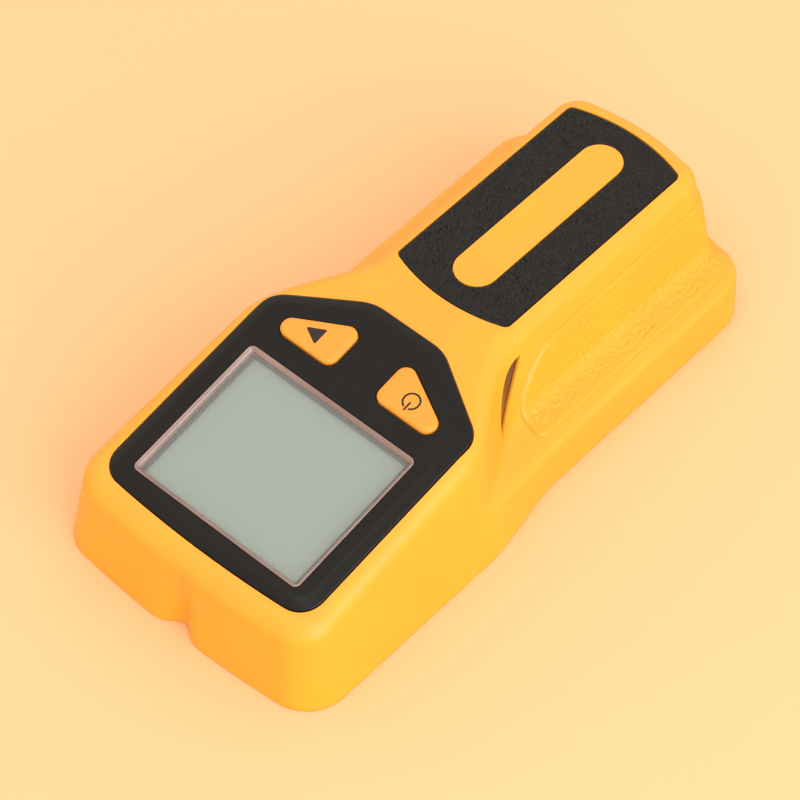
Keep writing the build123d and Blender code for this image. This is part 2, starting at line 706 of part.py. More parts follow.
block = casing_block()
grip_region = pad_prism()
grip_skin = tower(-PAD_OUT)
grip_core = tower(PAD_IN)
save(top_shell(block, tower(PAD_IN + 0.05), grip_region), "top_shell")
save(bottom_cover(), "bottom_cover")
save(battery_door(), "battery_door")
save(door_latch(), "door_latch")
save(battery(), "battery")
save(contact_block(), "contact_block")
save(battery_contacts(), "battery_contacts")
save(battery_leads(), "battery_leads")
save(lamp_leads(), "lamp_leads")
save(case_screws(), "case_screws")
save(felt_pads(), "felt_pads")
save(display_bezel(), "display_bezel")
save(display_lens(), "display_lens")
save(lcd_panel(), "lcd_panel")
save(backlight(), "backlight")
save(lcd_frame(), "lcd_frame")
save(contact_strips(), "contact_strips")
save(button(-1) - power_mark(), "power_button")
save(button(1) - mode_mark(), "mode_button")
save(power_mark(), "power_mark")
save(mode_mark(), "mode_mark")
save(switch_body(-1), "power_switch")
save(switch_body(1), "mode_switch")
save(switch_plunger(-1), "power_plunger")
save(switch_plunger(1), "mode_plunger")
save(main_board(), "main_board")
save(board_screws(), "board_screws")
save(board_chips(), "board_chips")
save(buzzer(), "buzzer")
save(sensor_board(), "sensor_board")
save(sensing_plates(), "sensing_plates")
save(detection_coil(), "detection_coil")
save(board_link(), "board_link")
save(grip_inlay(), "grip_inlay")
lamp_skin = tower(0.5)
lamp_core = tower(WALL + 0.2)
for side, sign in (("left", -1), ("right", 1)):
    save(side_lamp_lens(sign, lamp_skin, lamp_core), f"side_lens_{side}")
    save(lamp_board(sign), f"lamp_board_{side}")
    save(lamp(sign), f"side_lamp_{side}")
    save(side_grip(sign, grip_region, grip_skin, grip_core), f"side_grip_{side}")
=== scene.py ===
import json
import math

import bmesh
import bpy
import numpy as np
from mathutils import Matrix, Vector, noise

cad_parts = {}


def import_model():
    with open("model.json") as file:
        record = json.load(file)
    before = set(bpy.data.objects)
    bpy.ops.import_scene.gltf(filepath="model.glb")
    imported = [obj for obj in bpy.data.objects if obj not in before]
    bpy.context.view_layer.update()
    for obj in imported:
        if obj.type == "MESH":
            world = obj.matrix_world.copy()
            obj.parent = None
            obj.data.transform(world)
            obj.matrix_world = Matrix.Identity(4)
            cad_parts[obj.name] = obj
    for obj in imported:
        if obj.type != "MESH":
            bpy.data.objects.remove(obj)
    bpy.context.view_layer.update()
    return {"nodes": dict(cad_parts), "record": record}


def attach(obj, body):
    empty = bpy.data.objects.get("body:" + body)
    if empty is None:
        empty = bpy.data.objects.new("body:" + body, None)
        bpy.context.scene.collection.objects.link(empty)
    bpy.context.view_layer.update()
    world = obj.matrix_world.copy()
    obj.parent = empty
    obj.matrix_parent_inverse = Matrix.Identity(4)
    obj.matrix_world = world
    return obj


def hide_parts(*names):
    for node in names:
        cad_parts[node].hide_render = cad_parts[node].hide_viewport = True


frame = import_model()
MM = 0.001

# ---------------------------------------------------------------- sizes in mm, as in the part
HEAD_HALF = 36.0
HEAD_DRAFT = 0.17
FRONT_Y = 74.08
FRONT_DRAFT = 0.14
FRONT_BULGE = 0.00185
REAR_BULGE = 0.0095
FOOT_REAR_BULGE = 0.004
NOTCH_DEPTH = 3.0
NOTCH_SPREAD = 3.2
NOTCH_TOP_Z = 20.0
TOP_Z = 33.5
SHOULDER_R = 3.4
WALL = 2.2
ROOF = 3.0
FRONT_CORNER = 10.0         # radius of the head's front corners at the foot, and its loss per mm of height
FRONT_CORNER_DRAFT = 0.09
REAR_CORNER = 6.0           # radius of the handle's rear corners, and how much rounder the foot is
FOOT_CORNER_GROWTH = 4.0
FOOT_TOP = 13.5             # up to this height the rear turns from the foot's shape into the handle's
FOOT_BLEND = 3.0            # height over which it turns
WALL_ROWS_TOP = 17.0        # walls have level rows of points below this height
# height, then the handle's half width and its rear, and where the neck starts and ends along Y
LEVELS = np.array((
    (0.0, 32.45, -74.0, -7.0, 19.0),
    (11.0, 32.1, -73.75, -7.0, 19.0),
    (11.8, 31.5, -73.4, -7.0, 19.3),
    (12.4, 30.2, -73.1, -6.9, 19.7),
    (12.9, 28.2, -72.8, -6.7, 20.1),
    (13.4, 26.2, -72.6, -6.4, 20.6),
    (14.0, 24.6, -72.45, -6.2, 21.0),
    (14.9, 23.4, -72.35, -6.0, 21.4),
    (16.4, 22.4, -72.25, -6.2, 21.6),
    (50.0, 12.9, -71.0, -11.2, 19.3),
))

FACE_Y = 44.0
FACE_Z = 26.9
TILT = math.radians(10.8)
DECK = -1.0
CREST_SOFT = 0.35           # rounding of the line where the deck meets the handle's top

BEZEL_HALF = 28.15
BEZEL_FRONT = 22.95
BEZEL_SAG = 1.3
BEZEL_SHOULDER = -29.5
BEZEL_REAR = -40.8
BEZEL_REAR_HALF = 9.45
BEZEL_BOTTOM = -2.4
BEZEL_CORNER = 5.5
BEZEL_REAR_CORNER = 10.0
BEZEL_ARC_HALF = 20.0       # the front edge is drawn as a curve between its corners, this far each way
BEZEL_PLAY = 0.22
DISPLAY_HOLE = (48.0, 39.6)
WINDOW = (45.1, 36.2)
WINDOW_CORNER = 1.4
VIEW = (41.6, 33.6)
VIEW_FORWARD = 0.3
BUTTON_POINTS = ((8.05, -25.7), (18.5, -25.7), (8.05, -31.1))
BUTTON_ROUND = 2.3
BUTTON_PLAY = 0.28
BUTTON_WELL = 1.1           # the hole in the casing behind a button is wider than it, for its flange
BUTTON_FLANGE = 0.8
BUTTON_STEPS = 12
STEM_X = 11.2
STEM_Y = -27.3
STEM_R = 1.5
INLAY_HALF = 14.9
INLAY_FRONT = -6.9
INLAY_REAR = -67.5
INLAY_BULGE = 0.0122
INLAY_CORNER = 1.4
INLAY_ARC_HALF = 12.0       # the curved ends are drawn this far each way between their corners
INLAY_PROUD = 0.15
INLAY_BORDER = 0.8          # the grain fades out over this border, which is rounded down by the drop
INLAY_BORDER_DROP = 0.3
INLAY_DEPTH = 0.98
INLAY_PLAY = 0.28
LEATHER_RELIEF = 0.42
PILL_HALF = 4.9
PILL_FRONT = -12.5
PILL_REAR = -61.8
COVER_INSET = 1.05
COVER_SEAT = 2.06
LAMP_PLAY = 0.12
LENS_BOTTOM = -1.46

GRIP_LOW = 12.6             # the side grip's lower and upper edges, and its curved front end
GRIP_HIGH = 26.9
GRIP_FRONT_LOW = -4.9
GRIP_FRONT_LEAN = 12.0
GRIP_FRONT_CURVE = 2.2
GRIP_CORNER = 2.2
GRIP_PROUD = 0.6            # its face above the casing, its border below it, and its back
GRIP_SUNK = 0.35
GRIP_BACK = 0.42
GRIP_EDGE = 0.9
GRIP_FLARE_TOP = 14.4       # rows of points are closer below this height, where the handle flares
GRIP_GRAIN = 0.24
GRIP_FINE_GRAIN = 0.11


# ---------------------------------------------------------------- small helpers
def smooth_step(t):
    t = np.clip(t, 0.0, 1.0)
    return t * t * (3 - 2 * t)


def face_point(x, y, w):
    """Display-face coordinates to millimetres in the frame."""
    return (x, FACE_Y + y * math.cos(TILT) + w * math.sin(TILT),
            FACE_Z - y * math.sin(TILT) + w * math.cos(TILT))


def make_object(name, verts, faces, smooth_angle=35):
    """A mesh object from millimetre points, with sharp edges only above the angle."""
    mesh = bpy.data.meshes.new(name)
    mesh.from_pydata([tuple(c * MM for c in v) for v in verts], [], faces)
    obj = bpy.data.objects.new(name, mesh)
    bpy.context.collection.objects.link(obj)
    tidy_mesh(obj, smooth_angle)
    return obj


def tidy_mesh(obj, smooth_angle=35):
    """Turns all faces outward and smooths the shading, except across edges sharper than the angle."""
    mesh = obj.data
    bm = bmesh.new()
    bm.from_mesh(mesh)
    bmesh.ops.recalc_face_normals(bm, faces=bm.faces)
    bm.to_mesh(mesh)
    bm.free()
    mesh.shade_smooth()
    mesh.set_sharp_from_angle(angle=math.radians(smooth_angle))


def apply_modifiers(obj):
    """Makes the result of the object's modifiers its own mesh."""
    bpy.context.view_layer.update()
    done = bpy.data.meshes.new_from_object(obj.evaluated_get(bpy.context.evaluated_depsgraph_get()))
    obj.modifiers.clear()
    obj.data = done


def boolean(obj, other, operation="DIFFERENCE"):
    """Cuts one mesh with another, or joins or intersects them, and removes the other."""
    step = obj.modifiers.new("cut", "BOOLEAN")
    step.operation = operation
    step.solver = "MANIFOLD"
    step.object = other
    apply_modifiers(obj)
    bpy.data.objects.remove(other)


def round_edges(obj, width, angle=40, segments=2):
    """Narrow rounding on every edge sharper than the angle."""
    step = obj.modifiers.new("round", "BEVEL")
    step.width = width * MM
    step.segments = segments
    step.limit_method = "ANGLE"
    step.angle_limit = math.radians(angle)
    apply_modifiers(obj)
    tidy_mesh(obj, 20)


def unit_rows(vectors):
    """The same vectors with length 1."""
    return vectors / np.linalg.norm(vectors, axis=-1, keepdims=True)


def strip_faces(count, rows):
    """Quads between stacked rings of count points."""
    faces = []
    for r in range(rows - 1):
        for i in range(count):
            j = (i + 1) % count
            faces.append((r * count + i, r * count + j, (r + 1) * count + j, (r + 1) * count + i))
    return faces


def prism(name, outline, low, high, place=lambda x, y, w: (x, y, w)):
    """Closed block with this outline between two heights, upright unless place turns it."""
    count = len(outline)
    verts = [place(x, y, low) for x, y in outline] + [place(x, y, high) for x, y in outline]
    faces = strip_faces(count, 2)
    faces += [tuple(range(count))[::-1], tuple(range(count, 2 * count))]
    return make_object(name, verts, faces)


def side_prism(name, outline, sign):
    """Closed block from the middle out to one side, with this outline in the side view."""
    return prism(name, outline, 0, 40, lambda y, z, x: (sign * x, y, z))


def offset_outline(outline, inward):
    """Moves a closed anticlockwise outline inward along its normals."""
    points = np.array(outline)
    ahead = np.roll(points, -1, axis=0) - points
    behind = points - np.roll(points, 1, axis=0)
    direction = unit_rows(unit_rows(ahead) + unit_rows(behind))
    normal = np.stack([-direction[:, 1], direction[:, 0]], axis=1)
    return points + normal * inward


def rounded_polygon(corners, steps=10):
    """Outline of a polygon given as anticlockwise (x, y, radius) corners, where radius 0 keeps a point."""
    points = []
    count = len(corners)
    for i, (x, y, radius) in enumerate(corners):
        if not radius:
            points.append((x, y))
            continue
        here = Vector((x, y))
        before = (Vector(corners[i - 1][:2]) - here).normalized()
        after = (Vector(corners[(i + 1) % count][:2]) - here).normalized()
        half = before.angle(after) / 2
        centre = here + (before + after).normalized() * (radius / math.sin(half))
        first = here + before * (radius / math.tan(half)) - centre
        last = here + after * (radius / math.tan(half)) - centre
        turn = first.angle_signed(last)
        for s in range(steps + 1):
            spin = Matrix.Rotation(-turn * s / steps, 2)
            points.append(tuple(centre + spin @ first))
    return points


def face_rings(outline, profile):
    """Points of the outline on the display face at each (inset, height) pair."""
    return [face_point(x, y, height) for inset, height in profile for x, y in offset_outline(outline, inset)]


def profile_solid(name, outline, profile):
    """Closed solid on the display face whose rings follow (inset, height) pairs, lowest first."""
    count = len(outline)
    verts = face_rings(outline, profile)
    faces = strip_faces(count, len(profile))
    faces += [tuple(range(count))[::-1], tuple(range(count * (len(profile) - 1), count * len(profile)))]
    return make_object(name, verts, faces)


def ring_solid(name, outline, profile):
    """Closed frame on the display face whose cross-section is the closed list of (inset, height) pairs."""
    count = len(outline)
    verts = face_rings(outline, profile)
    faces = strip_faces(count, len(profile))
    last = count * (len(profile) - 1)
    for i in range(count):
        j = (i + 1) % count
        faces.append((last + i, last + j, j, i))
    return make_object(name, verts, faces)


def grid_border(rows, columns):
    """Indices round the border of a grid of points, from its first point along the first row."""
    border = list(range(columns - 1)) + [columns - 1 + a * columns for a in range(rows - 1)]
    border += [(rows - 1) * columns + b for b in range(columns - 1, 0, -1)]
    border += [a * columns for a in range(rows - 1, 0, -1)]
    return border


# ---------------------------------------------------------------- casing skin
def outline_at(z):
    """Dense half outline of the casing at a height, from the rear middle round +X to the front middle."""
    handle, rear, neck_rear, neck_front = [np.interp(z, LEVELS[:, 0], LEVELS[:, k]) for k in (1, 2, 3, 4)]
    head = HEAD_HALF - HEAD_DRAFT * z
    front = FRONT_Y - FRONT_DRAFT * z
    foot = float(smooth_step((FOOT_TOP - z) / FOOT_BLEND))
    front_round = FRONT_CORNER - FRONT_CORNER_DRAFT * z
    rear_round = REAR_CORNER + FOOT_CORNER_GROWTH * foot
    bulge = REAR_BULGE + (FOOT_REAR_BULGE - REAR_BULGE) * foot
    notch = NOTCH_DEPTH * max(0.0, 1 - z / NOTCH_TOP_Z)

    def front_edge(x):
        return front - FRONT_BULGE * x * x - notch * np.exp(-((x / NOTCH_SPREAD) ** 2))

    parts = []
    centre_x = handle - rear_round
    centre_y = rear + bulge * centre_x ** 2 + rear_round
    x = np.linspace(0, centre_x, 30)
    parts.append(np.stack([x, rear + bulge * x * x], 1))
    start = -math.pi / 2 + math.atan(2 * bulge * centre_x)
    a = np.linspace(start, 0, 26)[1:]
    parts.append(np.stack([centre_x + rear_round * np.cos(a), centre_y + rear_round * np.sin(a)], 1))
    y = np.linspace(centre_y, neck_rear, 60)[1:]
    parts.append(np.stack([np.full_like(y, handle), y], 1))
    y = np.linspace(neck_rear, neck_front, 50)[1:]
    share = smooth_step((y - neck_rear) / (neck_front - neck_rear))
    parts.append(np.stack([handle + (head - handle) * share, y], 1))
    centre_x = head - front_round
    centre_y = front_edge(centre_x) - front_round
    y = np.linspace(neck_front, centre_y, 40)[1:]
    parts.append(np.stack([np.full_like(y, head), y], 1))
    a = np.linspace(0, math.pi / 2 - math.atan(2 * FRONT_BULGE * centre_x), 26)[1:]
    parts.append(np.stack([centre_x + front_round * np.cos(a), centre_y + front_round * np.sin(a)], 1))
    x = np.linspace(centre_x, 8, 24)[1:]
    parts.append(np.stack([x, front_edge(x)], 1))
    x = np.linspace(8, 0, 34)[1:]
    parts.append(np.stack([x, front_edge(x)], 1))
    return np.concatenate(parts)


TABLE_STEP = 0.25
TABLE_Z = np.arange(0, 40.01, TABLE_STEP)
TABLE = np.stack([outline_at(z) for z in TABLE_Z])
for _ in range(3):
    # the kinks between the rows of LEVELS are worn smooth
    TABLE[1:-1] = TABLE[1:-1] * 0.5 + (TABLE[:-2] + TABLE[2:]) * 0.25
HALF_COUNT = TABLE.shape[1]


def outline_points(z, inset):
    """Half outline with its own height for each point, moved inward."""
    z = np.clip(z, 0, TABLE_Z[-1] - 0.01)
    row = (z / TABLE_STEP).astype(int)
    part = (z / TABLE_STEP - row)[:, None]
    index = np.arange(HALF_COUNT)
    points = TABLE[row, index] * (1 - part) + TABLE[row + 1, index] * part
    tangent = np.gradient(points, axis=0)
    tangent[0] = (1, 0)
    tangent[-1] = (-1, 0)
    tangent = unit_rows(tangent)
    normal = np.stack([-tangent[:, 1], tangent[:, 0]], 1)
    moved = points + normal * inset
    moved[0, 0] = moved[-1, 0] = 0
    return moved


def roof_height(y):
    """Height of the roof: the sloping deck of the head, softly cut off by the handle's flat top."""
    deck = FACE_Z + DECK / math.cos(TILT) - math.tan(TILT) * (y - FACE_Y)
    return (TOP_Z + deck) / 2 - np.sqrt((TOP_Z - deck) ** 2 / 4 + CREST_SOFT ** 2)


def skin(name, inset=0.0, drop=0.0, shoulder=SHOULDER_R, floor=0.0, lip=0.35):
    """Closed solid of the casing's outer form, inset all round and lowered at the roof."""
    ones = np.ones(HALF_COUNT)
    zs = 25 * ones
    for _ in range(5):
        # the outline depends on the height, and the roof's height on the outline
        zs = roof_height(outline_points(zs, inset)[:, 1]) - drop
    rows = []
    foot = [(0.0, lip), (lip * 0.3, lip * 0.3), (lip, 0.0)] if lip else [(0.0, 0.0)]
    for rise, cut in foot:
        points = outline_points(rise * ones, inset + cut)
        rows.append(np.column_stack([points, (floor + rise) * ones]))
    levels = list(np.linspace(1, 10.5, 6)) + list(np.linspace(11, WALL_ROWS_TOP, 25))
    walls = [np.minimum(level, zs - shoulder - 0.02) for level in levels]
    for t in np.linspace(0, 1, 12)[1:-1]:
        walls.append(WALL_ROWS_TOP + (zs - shoulder - WALL_ROWS_TOP) * t)
    for z in walls:
        rows.append(np.column_stack([outline_points(z, inset), z]))
    for a in np.linspace(0, math.pi / 2, 12):
        cut = shoulder * (1 - math.cos(a))
        fall = shoulder * (1 - math.sin(a))
        points = outline_points(zs - fall, inset + cut)
        z = roof_height(points[:, 1]) - drop - fall
        rows.append(np.column_stack([points, z]))
    verts = []
    for row in rows:
        left = row[1:-1][::-1] * (-1, 1, 1)
        verts += [tuple(p) for p in row] + [tuple(p) for p in left]
    count = 2 * HALF_COUNT - 2
    faces = strip_faces(count, len(rows))
    faces.append(tuple(range(count))[::-1])
    faces += cap_faces(verts, count * (len(rows) - 1), count)
    return make_object(name, verts, faces)


def cap_faces(verts, base, count):
    """Faces of the roof between the two sides of the last ring; their inner points are added to verts."""
    steps = 12
    spans = []
    for i in range(HALF_COUNT):
        right = base + i
        left = base if i == 0 else base + count - i
        if i in (0, HALF_COUNT - 1):
            spans.append([right] * (steps + 1))
            continue
        x, y, z = verts[right]
        middle = []
        for k in range(1, steps):
            middle.append(len(verts))
            verts.append((x - 2 * x * k / steps, y, z))
        spans.append([right] + middle + [left])
    faces = []
    for a, b in zip(spans, spans[1:]):
        for k in range(steps):
            quad = []
            for v in (a[k], a[k + 1], b[k + 1], b[k]):
                if v not in quad:
                    quad.append(v)
            if len(quad) > 2:
                faces.append(tuple(quad))
    return faces


# ---------------------------------------------------------------- outlines on the object
def bezel_outline(grow=0.0):
    side = BEZEL_HALF
    front = BEZEL_FRONT - BEZEL_SAG
    span = np.linspace(BEZEL_ARC_HALF, -BEZEL_ARC_HALF, 15)
    corners = [(side, BEZEL_SHOULDER, BEZEL_CORNER), (side, front, BEZEL_CORNER)]
    corners += [(x, BEZEL_FRONT - BEZEL_SAG * (x / side) ** 2, 0) for x in span]
    corners += [(-side, front, BEZEL_CORNER), (-side, BEZEL_SHOULDER, BEZEL_CORNER),
                (-BEZEL_REAR_HALF, BEZEL_REAR, BEZEL_REAR_CORNER),
                (BEZEL_REAR_HALF, BEZEL_REAR, BEZEL_REAR_CORNER)]
    return offset_outline(rounded_polygon(corners), -grow)


def window_outline(size=WINDOW, corner=WINDOW_CORNER, forward=0.0, grow=0.0):
    half_x = size[0] / 2 + grow
    half_y = size[1] / 2 + grow
    radius = corner + grow
    return rounded_polygon([(half_x, forward - half_y, radius), (half_x, forward + half_y, radius),
                            (-half_x, forward + half_y, radius), (-half_x, forward - half_y, radius)], 8)


def button_outline(sign, grow=0.0):
    """Rounded triangle round the three button points, on the side that the sign gives."""
    radius = BUTTON_ROUND + grow
    core = [Vector(p) for p in BUTTON_POINTS]
    centre = sum(core, Vector((0, 0))) / 3
    points = []
    ordered = sorted(core, key=lambda p: math.atan2(p.y - centre.y, p.x - centre.x))
    for i, p in enumerate(ordered):
        before = p - ordered[i - 1]
        after = ordered[(i + 1) % 3] - p
        start = math.atan2(before.y, before.x) - math.pi / 2
        turn = before.angle_signed(after)
        for s in range(BUTTON_STEPS + 1):
            a = start - turn * s / BUTTON_STEPS
            points.append((p.x + radius * math.cos(a), p.y + radius * math.sin(a)))
    if sign < 0:
        points = [(-x, y) for x, y in reversed(points)]
    return points


def inlay_outline(grow=0.0):
    half = INLAY_HALF + grow
    radius = INLAY_CORNER + grow
    rear = INLAY_REAR - grow
    front = INLAY_FRONT + grow
    curve = INLAY_BULGE * half * half
    span = np.linspace(-INLAY_ARC_HALF, INLAY_ARC_HALF, 21)
    corners = [(-half, rear + curve, radius)] + [(x, rear + INLAY_BULGE * x * x, 0) for x in span]
    corners += [(half, rear + curve, radius), (half, front - curve, radius)]
    corners += [(x, front - INLAY_BULGE * x * x, 0) for x in span[::-1]] + [(-half, front - curve, radius)]
    return rounded_polygon(corners)


def pill_outline(grow=0.0, steps=24):
    radius = PILL_HALF + grow
    front = PILL_FRONT - PILL_HALF
    rear = PILL_REAR + PILL_HALF
    points = [(radius * math.cos(a), front + radius * math.sin(a)) for a in np.linspace(0, math.pi, steps)]
    points += [(-radius * math.cos(a), rear - radius * math.sin(a)) for a in np.linspace(0, math.pi, steps)]
    return points


def arc_through(first, middle, last, steps=24):
    """Points of the circular arc through three points, without the last one."""
    a, b, c = (Vector(p) for p in (first, middle, last))
    d = 2 * ((a.x - c.x) * (b.y - c.y) - (b.x - c.x) * (a.y - c.y))
    p = a.length_squared - c.length_squared
    q = b.length_squared - c.length_squared
    centre = Vector((p * (b.y - c.y) - q * (a.y - c.y), q * (a.x - c.x) - p * (b.x - c.x))) / d
    turn = (a - centre).angle_signed(c - centre)
    return [tuple(centre + Matrix.Rotation(-turn * t / steps, 2) @ (a - centre)) for t in range(steps)]


def lamp_outline(grow=0.0):
    """Crescent of the side lamp in the side view, as (y, z)."""
    top = (-9.2 - grow, 28.2 + grow)
    bottom = (2.6 + grow, 17.0 - grow)
    outer = arc_through(top, (-0.7 + grow, 24.7 + grow), bottom)
    inner = arc_through(bottom, (-3.9 - grow, 21.9 - grow), top)
    return outer + inner


# ---------------------------------------------------------------- materials
def material(name, base, rough=0.45, metal=0.0, **sockets):
    mat = bpy.data.materials.new(name)
    mat.use_nodes = True
    shader = mat.node_tree.nodes["Principled BSDF"]
    shader.inputs["Base Color"].default_value = (*base, 1)
    shader.inputs["Roughness"].default_value = rough
    shader.inputs["Metallic"].default_value = metal
    for key, value in sockets.items():
        shader.inputs[key.replace("_", " ")].default_value = value
    return mat


def add_node(mat, kind):
    return mat.node_tree.nodes.new(kind)


def feed(mat, output, socket):
    """Links a node's output to an input of the material's shader."""
    mat.node_tree.links.new(output, mat.node_tree.nodes["Principled BSDF"].inputs[socket])


def noise_node(mat, scale, detail, stretch=(1, 1, 1)):
    """Noise in object space, with the scale in features per metre."""
    coords = add_node(mat, "ShaderNodeTexCoord")
    mapping = add_node(mat, "ShaderNodeMapping")
    mapping.inputs["Scale"].default_value = stretch
    texture = add_node(mat, "ShaderNodeTexNoise")
    texture.inputs["Scale"].default_value = scale
    texture.inputs["Detail"].default_value = detail
    links = mat.node_tree.links
    links.new(coords.outputs["Object"], mapping.inputs["Vector"])
    links.new(mapping.outputs["Vector"], texture.inputs["Vector"])
    return texture


def tint_by_noise(mat, texture, low, high):
    """Base colour that drifts between two colours."""
    ramp = add_node(mat, "ShaderNodeValToRGB")
    ramp.color_ramp.elements[0].position = 0.3
    ramp.color_ramp.elements[1].position = 0.7
    ramp.color_ramp.elements[0].color = (*low, 1)
    ramp.color_ramp.elements[1].color = (*high, 1)
    mat.node_tree.links.new(texture.outputs["Fac"], ramp.inputs["Fac"])
    feed(mat, ramp.outputs["Color"], "Base Color")


def rough_by_noise(mat, texture, low, high):
    """Roughness that drifts between two values."""
    span = add_node(mat, "ShaderNodeMapRange")
    span.inputs["From Min"].default_value = 0.3
    span.inputs["From Max"].default_value = 0.7
    span.inputs["To Min"].default_value = low
    span.inputs["To Max"].default_value = high
    mat.node_tree.links.new(texture.outputs["Fac"], span.inputs["Value"])
    feed(mat, span.outputs["Result"], "Roughness")


def bump_by(mat, texture, strength, distance):
    """Relief by a texture, with the distance in metres."""
    bump = add_node(mat, "ShaderNodeBump")
    bump.inputs["Strength"].default_value = strength
    bump.inputs["Distance"].default_value = distance
    mat.node_tree.links.new(texture.outputs["Fac"], bump.inputs["Height"])
    feed(mat, bump.outputs["Normal"], "Normal")


def shade(base, factor):
    return tuple(c * factor for c in base)


def moulded(name, base, rough=0.42, grain=2600, strength=0.12, spread=0.04, **sockets):
    """Moulded plastic: faint colour drift, fine spark-eroded texture and uneven gloss."""
    mat = material(name, base, rough, **sockets)
    tint_by_noise(mat, noise_node(mat, 45, 3), shade(base, 1 - spread), shade(base, 1 + spread))
    rough_by_noise(mat, noise_node(mat, 240, 4), rough - 0.04, rough + 0.05)
    bump_by(mat, noise_node(mat, grain, 3), strength, 0.00008)
    return mat


def metal(name, base, rough=0.3, stretch=(1, 1, 12)):
    """Brushed metal, with noise that is finer along one axis."""
    mat = material(name, base, rough, 1.0)
    brushed = noise_node(mat, 900, 5, stretch)
    rough_by_noise(mat, brushed, rough - 0.06, rough + 0.12)
    bump_by(mat, brushed, 0.15, 0.00004)
    tint_by_noise(mat, noise_node(mat, 120, 3), shade(base, 0.9), shade(base, 1.05))
    return mat


def board_material():
    """Solder mask with tracks showing faintly through it."""
    mat = material("board_mask", (0.012, 0.13, 0.05), 0.25)
    coords = add_node(mat, "ShaderNodeTexCoord")
    tracks = add_node(mat, "ShaderNodeTexBrick")
    tracks.inputs["Scale"].default_value = 170
    tracks.inputs["Color1"].default_value = (0.012, 0.12, 0.045, 1)
    tracks.inputs["Color2"].default_value = (0.016, 0.16, 0.06, 1)
    tracks.inputs["Mortar"].default_value = (0.03, 0.24, 0.10, 1)
    tracks.inputs["Mortar Size"].default_value = 0.06
    mat.node_tree.links.new(coords.outputs["Object"], tracks.inputs["Vector"])
    feed(mat, tracks.outputs["Color"], "Base Color")
    rough_by_noise(mat, noise_node(mat, 300, 3), 0.2, 0.32)
    bump_by(mat, noise_node(mat, 900, 2), 0.08, 0.00005)
    return mat


def felt_material():
    """Short grey fibres."""
    mat = material("felt", (0.05, 0.05, 0.052), 0.95)
    tint_by_noise(mat, noise_node(mat, 1500, 6), (0.025, 0.025, 0.027), (0.09, 0.09, 0.092))
    bump_by(mat, noise_node(mat, 2600, 6, (1, 3, 1)), 0.9, 0.0003)
    return mat


def leather_material():
    mat = material("grip_leather", (0.006, 0.0052, 0.0045), 0.45, Specular_IOR_Level=0.3)
    tint_by_noise(mat, noise_node(mat, 500, 5), (0.0045, 0.004, 0.0035), (0.0085, 0.0072, 0.006))
    rough_by_noise(mat, noise_node(mat, 900, 4), 0.28, 0.42)
    bump_by(mat, noise_node(mat, 3200, 4), 0.35, 0.0001)
    return mat


def lens_material():
    mat = material("clear_lens", (0.93, 0.95, 0.93), 0.06, Alpha=0.1, IOR=1.49)
    rough_by_noise(mat, noise_node(mat, 200, 3), 0.04, 0.09)
    bump_by(mat, noise_node(mat, 120, 2), 0.02, 0.00005)
    return mat


ORANGE = (0.93, 0.385, 0.022)
MATS = {
    "yellow_plastic": moulded("casing_plastic", ORANGE, 0.40, Coat_Weight=0.12, Coat_Roughness=0.35),
    "grip_yellow": moulded("grained_plastic", ORANGE, 0.28, grain=1500, strength=0.35),
    "cover_plastic": moulded("cover_black", (0.018, 0.018, 0.019), 0.5, grain=1700, strength=0.4),
    "black_bezel": moulded("bezel_black", (0.006, 0.0052, 0.0045), 0.3, grain=2200, strength=0.15,
                           Specular_IOR_Level=0.25),
    "black_grip": leather_material(),
    "button_orange": moulded("button_plastic", (0.93, 0.33, 0.03), 0.38, strength=0.08),
    "mark_dark": moulded("printed_ink", (0.014, 0.006, 0.003), 0.5),
    "lcd_glass": moulded("lcd_face", (0.185, 0.238, 0.208), 0.32, grain=900, strength=0.005, spread=0.02),
    "diffuser": moulded("white_diffuser", (0.75, 0.75, 0.7), 0.5),
    "frame_plastic": moulded("white_moulding", (0.62, 0.61, 0.57), 0.5),
    "elastomer": moulded("rubber_strip", (0.45, 0.28, 0.24), 0.6),
    "red_lens": moulded("lamp_lens_red", (0.07, 0.013, 0.005), 0.18, strength=0.03, Coat_Weight=0.6),
    "pcb_green": board_material(),
    "chip_black": moulded("chip_package", (0.02, 0.02, 0.021), 0.55),
    "steel": metal("screw_steel", (0.55, 0.55, 0.54)),
    "copper": metal("copper_foil", (0.75, 0.34, 0.16), 0.25),
    "spring_metal": metal("nickel", (0.68, 0.66, 0.60), 0.22),
    "coil_wire": metal("enamelled_wire", (0.52, 0.19, 0.05), 0.28, (1, 1, 40)),
    "switch_black": moulded("switch_moulding", (0.02, 0.02, 0.02), 0.5),
    "lamp_red": moulded("lamp_dome", (0.55, 0.02, 0.01), 0.15, Coat_Weight=0.5),
    "battery_skin": moulded("battery_sleeve", (0.06, 0.06, 0.065), 0.3),
    "wire_red": moulded("wire_insulation", (0.42, 0.02, 0.012), 0.4),
    "felt": felt_material(),
    "clear_lens": lens_material(),
    "lens_edge": moulded("lens_edge", (0.27, 0.17, 0.145), 0.16, strength=0.02, spread=0.25,
                         Coat_Weight=0.7),
}


def dress(obj, slot_name):
    obj.data.materials.clear()
    obj.data.materials.append(MATS[slot_name])


def piece(obj, slot_name, body, *nodes):
    """Gives a new piece its material, its body and the CAD nodes that it stands for."""
    dress(obj, slot_name)
    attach(obj, body)
    if nodes:
        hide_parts(*nodes)
    return obj


